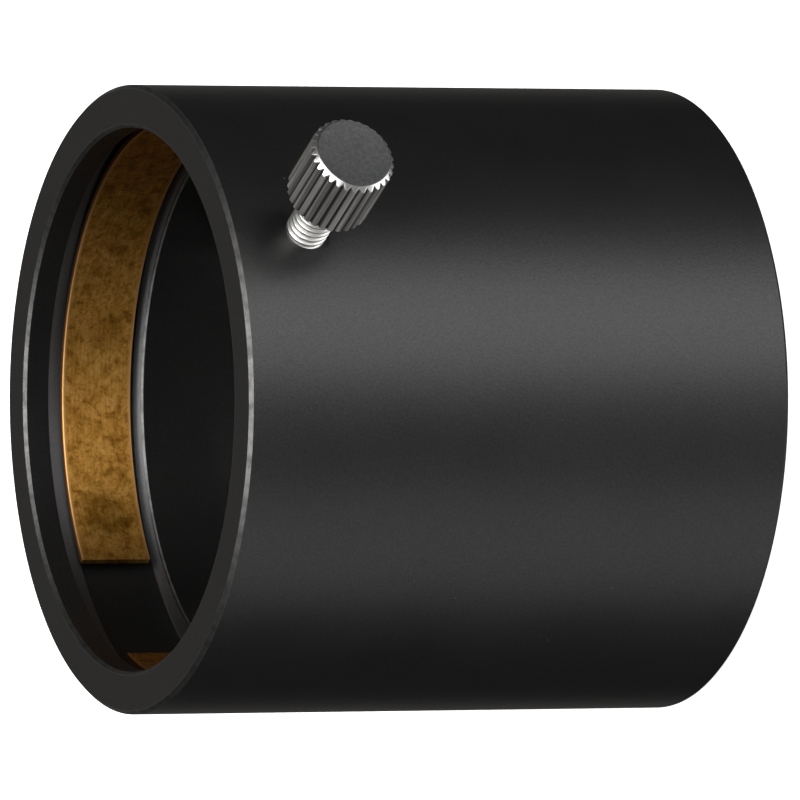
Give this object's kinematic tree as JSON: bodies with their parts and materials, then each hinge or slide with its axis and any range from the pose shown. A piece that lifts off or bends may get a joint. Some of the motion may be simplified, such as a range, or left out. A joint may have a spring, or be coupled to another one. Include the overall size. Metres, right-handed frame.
{
  "type": "barlow lens",
  "caption": "Short Barlow lens body with an eyepiece socket, split brass compression ring, knurled thumbscrew and a rear lens cell.",
  "frame": {"origin": "centre of the rear (telescope-side) face, on the optical axis", "axes": "+Z along the optical axis, out of the eyepiece socket's mouth; +X along the thumbscrew, outwards"},
  "size_m": [0.0719, 0.059, 0.0547],
  "materials": {
    "black_anodised": "satin black anodised",
    "brass_strip": "aged brass with mottled patina",
    "knob_steel": "turned and knurled steel",
    "stud_steel": "bright thread",
    "baffle_black": "matte black",
    "coated_glass": "polished, antireflection coated",
    "black_rubber": "matte"
  },
  "bodies": {
    "tube": {"body_tube": "black_anodised", "baffle_ring": "baffle_black", "lens_cell": "black_anodised", "flint_lens": "coated_glass", "crown_lens": "coated_glass", "lens_cushion": "black_rubber", "lens_retaining_ring": "black_anodised"},
    "ring": {"compression_ring": "brass_strip"},
    "thumbscrew": {"thumbscrew_knob": "knob_steel", "thumbscrew_stud": "stud_steel"}
  },
  "joints": [
    {"name": "ring_squeeze", "type": "slide", "parent": "tube", "child": "ring", "axis": [-1, 0, 0], "range_m": [-0.0005, 0.0005]},
    {"name": "thumbscrew_turn", "type": "hinge", "parent": "ring", "child": "thumbscrew", "pos_m": [0.0388, 0, 0.0471], "axis": [-1, 0, 0], "range_deg": [-257.2, 257.2]}
  ],
  "couplings": [
    {"joint": "thumbscrew_turn", "follows": "ring_squeeze", "rad_per_m": 8976}
  ]
}
